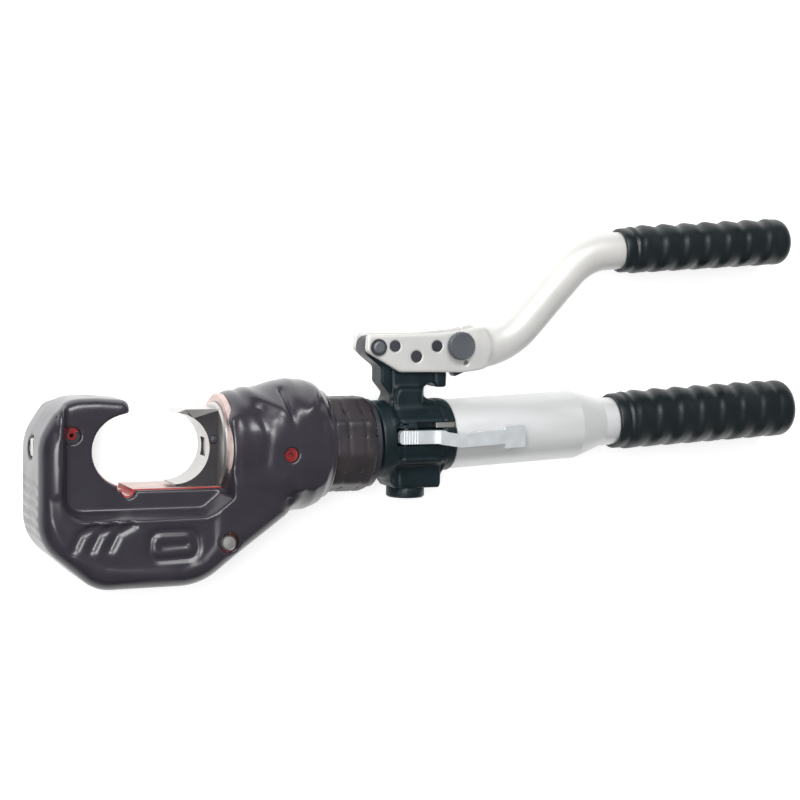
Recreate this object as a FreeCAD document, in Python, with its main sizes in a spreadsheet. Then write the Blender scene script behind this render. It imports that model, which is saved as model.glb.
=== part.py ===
"""Hand-operated hydraulic compression tool with a C head for 38 mm U dies.

Frame, in millimetres: the origin is the centre of the fixed die seat.  +X runs along the ram's
axis from the head to the handles, +Y points to the moving handle, and +Z is up as the tool lies
on its side, towards the release lever.  The main handle leans from the ram's axis towards +Y.
"""
import FreeCAD, Part
import math
import os
import re

import Sketcher

doc = FreeCAD.newDocument("compression_tool")
sheet = doc.addObject("Spreadsheet::Sheet", "dims")

# Driving dimensions, in millimetres and degrees.
DIMENSIONS = {
    # die seats and head
    "seat_radius": 19.0, "spine_flat": -20.35, "jaw_tip": -5.4, "groove_radius": 3.0,
    "head_front": -44.3, "head_top": 22.3, "head_bottom": -69.0, "head_plate": 15.5,
    "head_rim": 23.0, "cover_top": 28.5, "panel_front": -37.8, "panel_floor": -36.2, "cover_wall": 3.0,
    # barrel and neck
    "bore_radius": 24.0, "mouth": 52.5, "mouth_radius": 28.6, "throat_radius": 27.4,
    "barrel_start": 66.0, "barrel_radius": 28.6, "barrel_end": 109.0, "bore_end": 105.0,
    "neck_radius": 24.6, "neck_bore": 20.06, "neck_end": 140.6, "sleeve_flat": 31.0,
    "collar_radius": 27.2,
    # ram
    "ram_centre": 27.0, "ram_radius": 23.96, "ram_half_width": 11.0, "ram_face": 26.9,
    "ram_round": 50.5, "ram_end": 103.0, "ram_top": 20.9, "ram_foot": -20.0,
    "ram_hollow_radius": 12.0, "ram_hollow_start": 62.0,
    # pump body, along the leaning handle axis from the lean point
    "lean_point": 115.4, "tube_lean": 3.1, "spigot_start": 106.0, "spigot_radius": 20.0,
    "spigot_hollow_radius": 10.0, "spigot_hollow_end": 126.0,
    "ring_start": 27.6, "ring_end": 36.6, "ring_radius": 22.0, "block_radius": 20.4,
    "block_end": 72.6, "skirt_end": 86.0, "tower_half": 7.8,
    # fulcrum, plunger and fork
    "fulcrum_along": 142.2, "fulcrum_up": 53.9, "pin_radius": 3.5, "plunger_along": 164.7,
    "drive_along": 165.4, "drive_up": 48.8, "drive_radius": 3.1, "plunger_radius": 5.5,
    "plunger_foot": 14.0, "fork_half": 11.5, "slot_half": 8.1, "running": 0.05,
    # handles
    "tube_radius": 19.8, "tube_bore": 17.4, "tube_shoulder": 153.0, "tube_neck": 171.0,
    "tube_thin": 14.0, "tube_thin_bore": 11.6, "tube_end": 297.0,
    "grip_start": 179.5, "grip_end": 301.5, "grip_radius": 17.0,
    "lever_tube": 11.0, "lever_bore": 8.4, "upper_grip_radius": 13.8,
    "upper_grip_start": 297.0, "upper_grip_end": 411.5,
    # release lever and lock
    "lever_pivot": 157.0, "lever_level": 19.6, "lever_low": 0.8, "lever_high": 8.2,
    "lever_tip": 226.5, "knob_along": 191.5, "knob_up": 54.8, "knob_radius": 8.0,
    # small parts of the head: where each one sits
    "cross_pin_x": -29.8, "cross_pin_y": 8.6, "cross_pin_radius": 2.45,
    "rivet_x": 52.8, "rivet_y": -49.4, "rivet_radius": 2.9,
    "set_screw_x": 86.0, "set_screw_y": -2.8, "set_screw_radius": 2.95,
    "front_button_y": 1.2, "front_stem": 3.0, "front_well": 5.2,
    "ram_button_x": 48.2, "ram_button_y": 4.6, "ram_button_radius": 2.5,
    "anchor_radius": 1.5, "body_anchor_x": 121.0,
    "retainer_start": 124.0, "retainer_end": 126.0,
    # valves and small parts of the pump
    "valve_line": 4.5, "release_x": 166.0, "needle_radius": 2.2,
    "relief_x": 173.0, "relief_y": -4.0, "screw_radius": 4.95, "passage_radius": 2.0,
    "gland_level": 26.0, "gland_radius": 7.3, "boss_level": -25.2, "cap_radius": 10.8, "cap_level": -31.0,
    "seal_start": 110.0, "spacer_first": 152.4, "spacer_second": 177.8, "spacer_up": 54.6,
    "spacer_radius": 3.0, "shaft_radius": 3.0, "hole_gap": 0.05, "pivot_pin": 1.45,
}
for row, (alias, value) in enumerate(DIMENSIONS.items(), start=1):
    sheet.set("A%d" % row, alias)
    sheet.set("B%d" % row, str(value))
    sheet.setAlias("B%d" % row, alias)
doc.recompute()

X_AXIS = FreeCAD.Vector(1, 0, 0)
Y_AXIS = FreeCAD.Vector(0, 1, 0)
Z_AXIS = FreeCAD.Vector(0, 0, 1)
nodes = []


def size(alias):
    """A driving dimension as a plain number."""
    return float(sheet.get(alias))


def bound(expression):
    """An expression on the sheet, written with bare aliases."""
    return re.sub(r"[a-z_]{2,}", lambda word: "dims." + word.group(0), str(expression))


def bind(obj, prop, expression):
    if isinstance(expression, str):
        obj.setExpression(prop, bound(expression))
    else:
        obj.setExpression(prop, repr(float(expression)))


def put(obj, at, turn=None):
    """Place an object: its position is bound to the sheet, its turn is a Rotation."""
    if turn is not None:
        obj.Placement = FreeCAD.Placement(FreeCAD.Vector(0, 0, 0), turn)
    for axis, expression in zip("xyz", at):
        bind(obj, "Placement.Base." + axis, expression)
    return obj


def facing(direction):
    """The rotation that takes +Z to a direction."""
    return FreeCAD.Rotation(Z_AXIS, FreeCAD.Vector(*direction))


def lean():
    return FreeCAD.Rotation(Z_AXIS, size("tube_lean"))


def node(obj, name):
    """Name a finished sub-part; the name is its node and its file."""
    obj.Label = name
    nodes.append(obj)
    return obj


def sketch_on(body, plane, points, name):
    """A closed outline of straight runs, every corner bound to the sheet."""
    sketch = body.newObject("Sketcher::SketchObject", name)
    origin_plane = [f for f in body.Origin.OriginFeatures if f.Role == plane][0]
    sketch.AttachmentSupport = [(origin_plane, "")]
    sketch.MapMode = "FlatFace"
    count = len(points)
    start = [FreeCAD.Vector(math.cos(2 * math.pi * k / count), math.sin(2 * math.pi * k / count), 0)
             for k in range(count)]
    for k in range(count):
        sketch.addGeometry(Part.LineSegment(start[k], start[(k + 1) % count]), False)
    for k in range(count):
        sketch.addConstraint(Sketcher.Constraint("Coincident", k, 2, (k + 1) % count, 1))
    for k, corner in enumerate(points):
        for kind, expression in zip(("DistanceX", "DistanceY"), corner):
            index = sketch.addConstraint(Sketcher.Constraint(kind, -1, 1, k, 1, 1.0))
            bind(sketch, "Constraints[%d]" % index, expression)
    return sketch


def prism(name, points, low, high, rounds=()):
    """An outline in X and Y raised from z = low to high; rounds are (radius, corner numbers)."""
    body = doc.addObject("PartDesign::Body", name)
    sketch = sketch_on(body, "XY_Plane", points, name + "_outline")
    pad = body.newObject("PartDesign::Pad", name + "_pad")
    pad.Profile = sketch
    bind(pad, "Length", "(%s) - (%s)" % (high, low))
    put(body, (0, 0, low))
    if rounds:
        doc.recompute()
        last = pad
        for radius, corners in rounds:
            places = [sketch.Geometry[k].StartPoint for k in corners]
            edges = []
            for number, edge in enumerate(last.Shape.Edges, start=1):
                ends = [v.Point for v in edge.Vertexes]
                upright = len(ends) == 2 and (ends[0] - ends[1]).cross(Z_AXIS).Length < 1e-6
                if upright and any((ends[0] - p).cross(Z_AXIS).Length < 1e-4 for p in places):
                    edges.append("Edge%d" % number)
            fillet = body.newObject("PartDesign::Fillet", name + "_round%d" % len(body.Group))
            fillet.Base = (last, edges)
            bind(fillet, "Radius", radius)
            doc.recompute()
            last = fillet
    return body


def turned(name, points, at=(0, 0, 0), turn=None):
    """An outline of (along, radius) turned about its own X axis."""
    body = doc.addObject("PartDesign::Body", name)
    sketch = sketch_on(body, "XY_Plane", points, name + "_outline")
    revolution = body.newObject("PartDesign::Revolution", name + "_turn")
    revolution.Profile = sketch
    revolution.ReferenceAxis = (sketch, ["H_Axis"])
    revolution.Angle = 360
    put(body, at, turn)
    return body


def rod(radius, length, at, direction=Z_AXIS):
    """A round bar from a point along a direction."""
    bar = doc.addObject("Part::Cylinder", "rod")
    bind(bar, "Radius", radius)
    bind(bar, "Height", length)
    return put(bar, at, facing(direction))


def block(sides, at):
    """A box from its lowest corner."""
    box = doc.addObject("Part::Box", "block")
    for prop, expression in zip(("Length", "Width", "Height"), sides):
        bind(box, prop, expression)
    return put(box, at)


def ball(radius, at):
    sphere = doc.addObject("Part::Sphere", "ball")
    bind(sphere, "Radius", radius)
    return put(sphere, at)


def fuse(*pieces):
    joined = doc.addObject("Part::MultiFuse", "fuse")
    joined.Shapes = list(pieces)
    joined.Refine = True
    return joined


def common(*pieces):
    shared = doc.addObject("Part::MultiCommon", "common")
    shared.Shapes = list(pieces)
    return shared


def cut(base, *tools):
    result = doc.addObject("Part::Cut", "cut")
    result.Base = base
    result.Tool = tools[0] if len(tools) == 1 else fuse(*tools)
    return result


def spring(name, coil, wire, length, turns, at, direction):
    """A coil spring: a helix swept along its axis from a point."""
    helix = Part.makeHelix(length / turns, length, coil)
    circle = Part.Circle(FreeCAD.Vector(coil, 0, 0), Y_AXIS, wire)
    profile = Part.Wire([circle.toShape()])
    coil_spring = doc.addObject("Part::Feature", name)
    coil_spring.Shape = Part.Wire(helix.Edges).makePipeShell([profile], True, True)
    coil_spring.Placement = FreeCAD.Placement(FreeCAD.Vector(*at), facing(direction))
    return node(coil_spring, name)


LEAN_AT = ("lean_point", 0, 0)


# ---------------------------------------------------------------- head
def head_outline(grow):
    """The C head's side view without its jaw; grow moves every side outwards."""
    return [("jaw_tip + 0.7 * (%s)" % grow, "head_top + %s" % grow),
            ("-36", "head_top + %s" % grow),
            ("head_front - %s" % grow, "6"),
            ("head_front - %s" % grow, "-43 - 0.3 * (%s)" % grow),
            ("-13 - 0.3 * (%s)" % grow, "head_bottom - %s" % grow),
            ("41 + 0.3 * (%s)" % grow, "head_bottom - %s" % grow),
            ("84 + %s" % grow, "-34 - 0.4 * (%s)" % grow),
            ("84 + %s" % grow, "-8"),
            ("mouth + 2", "-8"),
            ("mouth + 2", "18"),
            ("jaw_tip + 0.7 * (%s)" % grow, "18")]


HEAD_ROUNDS = (("12", (1, 2)), ("16", (3, 4)), ("22", (5,)), ("1.5", (0,)))


def panel_outline(shrink):
    """The recessed panel round the jaw, open to the top; shrink moves its edge inwards."""
    return [("panel_front + %s" % shrink, "40"),
            ("panel_front + %s" % shrink, "panel_floor + %s" % shrink),
            ("44 - %s" % shrink, "panel_floor + %s" % shrink),
            ("mouth + 0.5 - 0.3 * (%s)" % shrink, "-24"),
            ("mouth + 0.5 - 0.3 * (%s)" % shrink, "40")]


def jaw_space(name, gap):
    """The space for dies and cable: the round seat, the straight throat and the ram's path."""
    seat = rod("seat_radius + %s" % gap, "90", (0, 0, -45))
    throat = prism(name + "_throat",
                   [("jaw_tip - %s" % gap, "spine_flat - %s" % gap),
                    ("mouth - %s" % gap, "spine_flat - %s" % gap), ("mouth - %s" % gap, "60"),
                    ("jaw_tip + 0.001", "60"), ("jaw_tip + 0.001", "0"), ("jaw_tip - %s" % gap, "0")],
                   "-45", "45")
    groove = rod("groove_radius + %s" % gap, "90", (0, "spine_flat - 0.6", -45))
    path = rod("bore_radius + 0.2", "mouth - 21", ("22", 0, 0), X_AXIS)
    return fuse(seat, throat, groove, path)


def make_head():
    barrel = turned("barrel", [("mouth", "0"), ("mouth", "mouth_radius - 0.8"),
                               ("mouth + 0.8", "mouth_radius"), ("mouth + 2.6", "mouth_radius"),
                               ("mouth + 3.6", "throat_radius"), ("barrel_start", "throat_radius"),
                               ("barrel_start + 4", "barrel_radius"), ("barrel_end - 3", "barrel_radius"),
                               ("barrel_end", "neck_radius + 2"), ("barrel_end", "neck_radius"),
                               ("neck_end", "neck_radius"), ("neck_end", "0")])
    plate = prism("head_plate_solid", head_outline("0"), "-head_plate", "head_plate", HEAD_ROUNDS)
    rim = cut(prism("head_rim_solid", head_outline("0"), "-head_rim", "head_rim", HEAD_ROUNDS),
              prism("head_panel", panel_outline("0"), "-40", "40", (("12", (1,)), ("10", (2,)))))
    bore = turned("bore", [("mouth - 1", "0"), ("mouth - 1", "bore_radius"), ("bore_end", "bore_radius"),
                           ("bore_end", "neck_bore"), ("retainer_start", "neck_bore"),
                           ("retainer_start", "22.5"),
                           ("retainer_end", "22.5"), ("retainer_end", "neck_bore"),
                           ("neck_end + 1", "neck_bore"),
                           ("neck_end + 1", "0")])
    button_at = ("head_front - 5", "front_button_y", 0)
    button_hole = fuse(rod("front_stem + hole_gap", "40", button_at, X_AXIS),
                       rod("front_well", "14", button_at, X_AXIS))
    pin_hole = rod("cross_pin_radius + hole_gap", "60", ("cross_pin_x", "cross_pin_y", -30))
    rivet_hole = rod("rivet_radius + 2 * hole_gap", "60", ("rivet_x", "rivet_y", -30))
    screw_hole = rod("set_screw_radius + hole_gap", "6", ("set_screw_x", "set_screw_y", 24.9))
    frame = cut(fuse(barrel, plate, rim), bore, jaw_space("steel", "0"), button_hole, pin_hole,
                rivet_hole, screw_hole)
    return node(frame, "head_frame")


def make_cover(frame):
    rim = prism("cover_rim", head_outline("cover_wall"), "-cover_top", "cover_top",
                (("13", (1, 2)), ("17", (3, 4)), ("22", (5,)), ("2", (0,))))
    panel = prism("cover_panel", panel_outline("cover_wall"), "head_plate + cover_wall", "40",
                  (("10", (1,)), ("8", (2,))))
    low_panel = prism("cover_low_panel", panel_outline("cover_wall"), "-40",
                      "-head_plate - cover_wall", (("10", (1,)), ("8", (2,))))
    sleeve = turned("cover_sleeve", [("mouth + 2.8", "20"), ("mouth + 2.8", "28.6"),
                                     ("72", "31.4"), ("84", "35.6"), ("92", "36.6"), ("103", "35.4"),
                                     ("110", "31.5"), ("113", "27.5"), ("113", "20")])
    flats = block(("70", "90", "2 * sleeve_flat"), ("mouth", -45, "-sleeve_flat"))
    bare_rim = block(("3.8", "80", "80"), ("mouth - 1", "-8", -40))
    solid = fuse(cut(rim, panel, low_panel, bare_rim), common(sleeve, flats))
    bore = turned("cover_bore", [("mouth - 1", "0"), ("mouth - 1", "mouth_radius - 0.8"),
                                 ("mouth + 2.7", "mouth_radius"), ("mouth + 3.6", "throat_radius - 1"),
                                 ("120", "neck_radius"), ("120", "0")])
    holes = [rod("front_well + 1", "36", ("head_front - 6", "front_button_y", 0), X_AXIS),
             rod("cross_pin_radius + 1.75", "60", ("cross_pin_x", "cross_pin_y", -30)),
             rod("rivet_radius + 2.5", "60", ("rivet_x", "rivet_y", -30)),
             rod("set_screw_radius + 1.65", "18", ("set_screw_x", "set_screw_y", 22))]
    cover = cut(cut(cut(solid, bore), frame), jaw_space("cover", "0.9"), *holes)
    return node(cover, "head_cover")


def make_head_fittings():
    collar = turned("collar", [("113.2", "neck_radius + 0.02"), ("113.2", "collar_radius"),
                               ("136", "collar_radius"), ("140.4", "neck_radius + 0.4"),
                               ("140.4", "neck_radius + 0.02")])
    node(collar, "neck_collar")
    retainer = turned("retainer", [("retainer_start + 0.2", "18.4"), ("retainer_start + 0.2", "22.3"),
                                   ("retainer_end - 0.2", "22.3"), ("retainer_end - 0.2", "18.4")])
    node(retainer, "head_retainer")
    head = [("head_rim", "rivet_radius"), ("head_rim", "4.6"), ("head_rim + 2.2", "4.6"),
            ("head_rim + 3.6", "3.4"), ("head_rim + 4", "0")]
    tail = [("-(%s)" % along, radius) for along, radius in reversed(head)]
    rivet = turned("rivet", tail + head, ("rivet_x", "rivet_y", 0), FreeCAD.Rotation(Y_AXIS, -90))
    node(rivet, "cover_rivet")
    pin = turned("cross_pin_solid", [("-16", "1.2"), ("-16", "cross_pin_radius"),
                                     ("16", "cross_pin_radius"), ("16", "1.2")],
                 ("cross_pin_x", "cross_pin_y", 0), FreeCAD.Rotation(Y_AXIS, -90))
    node(pin, "cross_pin")
    socket = prism("screw_socket", [("set_screw_x - 1.4", "set_screw_y - 0.8"),
                                    ("set_screw_x", "set_screw_y - 1.6"),
                                    ("set_screw_x + 1.4", "set_screw_y - 0.8"),
                                    ("set_screw_x + 1.4", "set_screw_y + 0.8"),
                                    ("set_screw_x", "set_screw_y + 1.6"),
                                    ("set_screw_x - 1.4", "set_screw_y + 0.8")], "27", "33")
    node(cut(rod("set_screw_radius", "3.6", ("set_screw_x", "set_screw_y", 25.0)), socket),
         "barrel_screw")


def make_die_button():
    stem = rod("front_stem", "25", (-44, "front_button_y", 0), X_AXIS)
    oval = prism("die_button_oval", [("-47.2", "front_button_y - 5.1"), ("-42.6", "front_button_y - 5.1"),
                                     ("-42.6", "front_button_y + 5.1"),
                                     ("-47.2", "front_button_y + 5.1")], "-3.2", "3.2", (("1.2", (0, 3)),))
    round_guide = rod("front_well - 0.1", "5", (-47.4, "front_button_y", 0), X_AXIS)
    button = fuse(cut(stem, block(("40", "12", "12"), (-22.2, -4.8, -6))), common(oval, round_guide))
    node(button, "die_button")
    spring("die_button_spring", 3.9, 0.5, 6.0, 4, (-41.8, size("front_button_y"), 0), X_AXIS)


# ---------------------------------------------------------------- ram
def make_ram():
    shank = turned("ram_shank", [("ram_round", "0"), ("ram_round", "ram_radius - 1"),
                                 ("ram_round + 1", "ram_radius"), ("88", "ram_radius"),
                                 ("88", "20.9"), ("94", "20.9"), ("94", "ram_radius"),
                                 ("ram_end - 1", "ram_radius"), ("ram_end", "ram_radius - 1"),
                                 ("ram_end", "ram_hollow_radius"),
                                 ("ram_hollow_start", "ram_hollow_radius"), ("ram_hollow_start", "0")])
    holder = prism("ram_holder", [("ram_face", "ram_foot"), ("ram_round + 2", "ram_foot"),
                                  ("ram_round + 2", "ram_top"), ("ram_face + 5.5", "ram_top"),
                                  ("ram_face", "18.6")], "-ram_half_width", "ram_half_width",
                   (("1.5", (0, 3)),))
    seat = rod("seat_radius", "60", ("ram_centre", 0, -30))
    die_slot = block(("2.5", "10", "9"), (44.4, -5, -4.5))
    button_hole = rod("ram_button_radius + hole_gap", "10", ("ram_button_x", "ram_button_y", 2.4))
    anchor_hole = rod("anchor_radius + hole_gap", "24.5", ("ram_hollow_start + 4", 0, -12.25))
    ram = cut(fuse(shank, common(holder, rod("ram_radius", "60", ("10", 0, 0), X_AXIS))),
              seat, die_slot, button_hole, anchor_hole)
    node(ram, "ram")
    seal = turned("ram_seal_solid", [("90.3", "20.95"), ("90.3", "23.6"), ("92.15", "23.9"),
                                     ("94", "23.6"), ("94", "20.95")])
    node(seal, "ram_seal")
    backup = turned("ram_backup", [("88", "20.95"), ("88", "23.9"), ("90.2", "23.9"), ("90.2", "20.95")])
    node(backup, "ram_backup_ring")
    node(rod("anchor_radius", "24", ("ram_hollow_start + 4", 0, -12)), "ram_anchor")
    button = turned("ram_button_solid", [("6.6", "0"), ("6.6", "ram_button_radius"),
                                         ("10.6", "ram_button_radius"),
                                         ("11.4", "ram_button_radius - 0.6"), ("11.9", "0")],
                    ("ram_button_x", "ram_button_y", 0), FreeCAD.Rotation(Y_AXIS, -90))
    node(button, "ram_button")
    spring("ram_button_spring", 1.7, 0.25, 3.6, 4,
           (size("ram_button_x"), size("ram_button_y"), 2.7), Z_AXIS)


# ---------------------------------------------------------------- pump body
def make_pump_body():
    spigot = turned("spigot", [("spigot_start", "spigot_hollow_radius"),
                               ("spigot_start", "spigot_radius - 1"),
                               ("spigot_start + 1", "spigot_radius"),
                               ("seal_start", "spigot_radius"), ("seal_start", "17.2"),
                               ("seal_start + 4.5", "17.2"), ("seal_start + 4.5", "spigot_radius"),
                               ("retainer_start", "spigot_radius"), ("retainer_start", "18.2"),
                               ("retainer_end", "18.2"), ("retainer_end", "spigot_radius"),
                               ("146", "spigot_radius"), ("146", "0"),
                               ("spigot_hollow_end", "0"), ("spigot_hollow_end", "spigot_hollow_radius")])
    core = turned("block", [("ring_start", "0"), ("ring_start", "ring_radius - 1.5"),
                            ("ring_start + 1.5", "ring_radius"), ("ring_end - 0.8", "ring_radius"),
                            ("ring_end", "block_radius"), ("block_end", "block_radius"),
                            ("block_end", "tube_bore"), ("skirt_end", "tube_bore"),
                            ("skirt_end", "13"), ("block_end", "13"), ("block_end", "0")],
                  LEAN_AT, lean())
    tower = prism("tower", [("152", "0"), ("152", "20.5"), ("151.4", "28"), ("146", "34.3"),
                            ("146", "42.5"), ("fulcrum_along - 6.2", "fulcrum_up - 3.7"),
                            ("fulcrum_along - 6.2", "fulcrum_up + 6"),
                            ("fulcrum_along + 6", "fulcrum_up + 6"), ("fulcrum_along + 7", "45"),
                            ("156", "40"), ("185.7", "40.4"), ("185.7", "31.2"), ("179.6", "31.2"),
                            ("176.4", "34.4"), ("171.6", "31"), ("171.6", "26.6"), ("176", "23.2"),
                            ("183.5", "23.2"), ("183.5", "0")],
                  "-tower_half", "tower_half",
                  (("5.8", (5, 6, 7)), ("1.6", (10, 11, 16)), ("3", (3, 4, 9)),
                   ("2.2", (13, 14, 15))))
    shoulder = prism("shoulder", [("152", "0"), ("152", "24"), ("156", "31"), ("170", "31"),
                                  ("170", "22"), ("183", "20"), ("183", "0")], "-11", "11")
    boss = prism("valve_boss", [("151.4", "0"), ("151.4", "-22"), ("154", "boss_level"),
                                ("180.6", "boss_level"), ("182.6", "-23"), ("182.6", "0")],
                 "-12", "12", (("1.5", (1, 2, 3, 4)),))
    lever_seat = block(("24", "13", "20"), (153, -2, 0))
    solid = fuse(spigot, core, tower, shoulder, boss, lever_seat)
    plunger_bore = rod("plunger_radius + running", "60",
                       ("plunger_along", "plunger_foot - 6.2", 0), Y_AXIS)
    gland_bore = rod("gland_radius", "3", ("plunger_along", "gland_level", 0), Y_AXIS)
    fulcrum_hole = rod("pin_radius", "30", ("fulcrum_along", "fulcrum_up", -15))
    suction_at = ("plunger_along", "boss_level - 1", 0)
    suction_bore = fuse(rod("screw_radius + hole_gap", "17.2", suction_at, Y_AXIS),
                        rod("2.4", "37", suction_at, Y_AXIS))
    passage = fuse(rod("passage_radius", "50", ("118", "valve_line", 0), X_AXIS),
                   rod("3.4", "14", ("136", "valve_line", 0), X_AXIS))
    relief_bore = fuse(rod("screw_radius + hole_gap", "14", ("relief_x", "relief_y", -22)),
                       rod("passage_radius", "24", ("relief_x", "relief_y", -22)))
    needle_bore = fuse(rod("needle_radius + hole_gap", "34", ("release_x", "valve_line", -3)),
                       rod("4.0", "14", ("release_x", "valve_line", 4.6)))
    lever_slot = block(("28.8", "9.4", "14"), (150.4, -0.2, "lever_level - 5"))
    slide_slot = block(("25", "3.2", "8"), (163.5, 9.4, 15.4))
    pivot_hole = rod("pivot_pin + hole_gap", "14.6", ("lever_pivot", -3, "lever_level - 1.4"), Y_AXIS)
    drain = rod("2.5", "30", (182, -6, 4), X_AXIS)
    anchor_hole = rod("anchor_radius + hole_gap", "21", ("body_anchor_x", 0, -10.5))
    body = cut(solid, plunger_bore, gland_bore, fulcrum_hole, suction_bore, passage, relief_bore,
               needle_bore, lever_slot, slide_slot, pivot_hole, drain, anchor_hole)
    return node(body, "pump_body")


def make_pump_fittings():
    seal = turned("spigot_seal_solid", [("seal_start + 0.2", "17.3"), ("seal_start + 0.2", "19.6"),
                                        ("seal_start + 2.2", "spigot_radius"),
                                        ("seal_start + 4.2", "19.6"), ("seal_start + 4.2", "17.3")])
    node(seal, "spigot_seal")
    node(rod("anchor_radius", "20", ("body_anchor_x", 0, -10)), "body_anchor")
    node(cut(rod("gland_radius", "2.9", ("plunger_along", "gland_level + hole_gap", 0), Y_AXIS),
             rod("plunger_radius + running", "4", ("plunger_along", "gland_level - 0.5", 0),
                 (0, 1, 0))), "plunger_gland")
    cap = turned("suction_cap", [("0", "3"), ("0", "cap_radius - 0.8"), ("0.8", "cap_radius"),
                                 ("boss_level - cap_level", "cap_radius"),
                                 ("boss_level - cap_level", "screw_radius"),
                                 ("13.5", "screw_radius"), ("13.5", "0"), ("4", "0"), ("4", "3")],
                 ("plunger_along", "cap_level", 0), FreeCAD.Rotation(Z_AXIS, 90))
    node(cap, "suction_plug")
    node(ball("2.2", ("plunger_along", -13.0, 0)), "suction_ball")
    spring("suction_spring", 1.6, 0.3, 4.6, 4, (size("plunger_along"), -10.5, 0), Y_AXIS)
    node(ball("2.8", (141, "valve_line", 0)), "check_ball")
    spring("check_spring", 1.5, 0.3, 4.0, 4, (144.2, size("valve_line"), 0), X_AXIS)
    screw = cut(rod("screw_radius", "6", ("relief_x", "relief_y", -20.2)),
                block(("12", "1.4", "1.6"), ("relief_x - 6", "relief_y - 0.7", -20.6)))
    node(screw, "relief_screw")
    spring("relief_spring", 3.2, 0.5, 4.0, 3, (size("relief_x"), size("relief_y"), -13.6), Z_AXIS)
    node(ball("1.7", ("relief_x", "relief_y", -7)), "relief_ball")
    node(rod("pivot_pin", "13.6", ("lever_pivot", -2.8, "lever_level - 1.4"), Y_AXIS), "lever_pin")
    fulcrum = turned("fulcrum_solid", [("-14", "0"), ("-14", "pin_radius - 1.1"),
                                       ("-13.4", "pin_radius - 0.06"), ("13.4", "pin_radius - 0.06"),
                                       ("14", "pin_radius - 1.1"), ("14", "0")],
                     ("fulcrum_along", "fulcrum_up", 0), FreeCAD.Rotation(Y_AXIS, -90))
    node(fulcrum, "fulcrum_pin")
    clips = fuse(*[cut(rod("4.7", "0.9", ("fulcrum_along", "fulcrum_up", z)),
                       rod("pin_radius - 0.04", "0.9", ("fulcrum_along", "fulcrum_up", z)))
                   for z in (12.0, -12.9)])
    node(clips, "fulcrum_clips")
    node(block(("11", "2.8", "3.2"), (174.6, 9.6, 16.6)), "lever_catch")


# ---------------------------------------------------------------- handles
def make_main_handle():
    tube = turned("tube", [("block_end", "tube_bore"), ("block_end", "tube_radius - 0.6"),
                           ("block_end + 0.6", "tube_radius"), ("tube_shoulder", "tube_radius"),
                           ("tube_shoulder + 5", "tube_radius - 1.6"),
                           ("tube_neck - 4", "tube_thin + 1.2"), ("tube_neck", "tube_thin"),
                           ("tube_end", "tube_thin"), ("tube_end", "tube_thin_bore"),
                           ("tube_neck", "tube_thin_bore"), ("tube_shoulder", "tube_bore")],
                  LEAN_AT, lean())
    node(tube, "main_tube")
    grip = turned("grip", [("grip_start", "tube_thin"), ("grip_start", "15.6"), ("grip_start + 1", "16.2"),
                           ("grip_start + 7", "16.2"), ("grip_start + 9", "grip_radius"),
                           ("grip_end - 6", "grip_radius"), ("grip_end - 1.6", "15"),
                           ("grip_end", "11"), ("grip_end", "0"), ("tube_end", "0"),
                           ("tube_end", "tube_thin")], LEAN_AT, lean())
    node(grip, "main_grip")
    bladder = turned("bladder", [("skirt_end + 3", "11.5"), ("skirt_end - 4", "11.5"),
                                 ("skirt_end - 4", "12.9"), ("skirt_end + 6", "12.9"),
                                 ("skirt_end + 14", "15.8"), ("tube_shoulder - 12", "15.8"),
                                 ("tube_shoulder", "6"), ("tube_shoulder", "3.1"),
                                 ("tube_shoulder - 2", "3.1"), ("tube_shoulder - 13", "13.8"),
                                 ("skirt_end + 15", "13.8")], LEAN_AT, lean())
    node(bladder, "oil_bladder")
    ring = turned("clamp_ring", [("skirt_end - 4", "10.4"), ("skirt_end - 4", "11.4"),
                                 ("skirt_end + 2.5", "11.4"), ("skirt_end + 2.5", "10.4")],
                  LEAN_AT, lean())
    node(ring, "bladder_ring")
    plug = turned("filler_solid", [("tube_shoulder - 4", "0"), ("tube_shoulder - 4", "3"),
                                   ("tube_shoulder + 0.2", "3"), ("tube_shoulder + 0.2", "5"),
                                   ("tube_shoulder + 3", "5"), ("tube_shoulder + 3", "0")],
                  LEAN_AT, lean())
    node(plug, "bladder_plug")


def handle_path():
    """The moving handle's centre line: two bends between three straight runs."""
    corners = [FreeCAD.Vector(203, 53.2, 0), FreeCAD.Vector(224.8, 54.4, 0),
               FreeCAD.Vector(274.0, 108.5, 0), FreeCAD.Vector(408.0, 117.6, 0)]
    bend = 38.0
    edges = []
    start = corners[0]
    for before, corner, after in zip(corners, corners[1:], corners[2:]):
        way_in = (corner - before).normalize()
        way_out = (after - corner).normalize()
        reach = bend * math.tan(way_in.getAngle(way_out) / 2)
        arc_start = corner - way_in * reach
        arc_end = corner + way_out * reach
        inward = (way_out - way_in).normalize()
        centre = corner + inward * math.hypot(bend, reach)
        middle = centre - inward * bend
        edges.append(Part.LineSegment(start, arc_start).toShape())
        edges.append(Part.Arc(arc_start, middle, arc_end).toShape())
        start = arc_end
    edges.append(Part.LineSegment(start, corners[-1]).toShape())
    return Part.Wire(edges), corners


def pipe(path, start, direction, radius):
    circle = Part.Circle(start, direction, radius)
    return path.makePipeShell([Part.Wire([circle.toShape()])], True, False)


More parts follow.
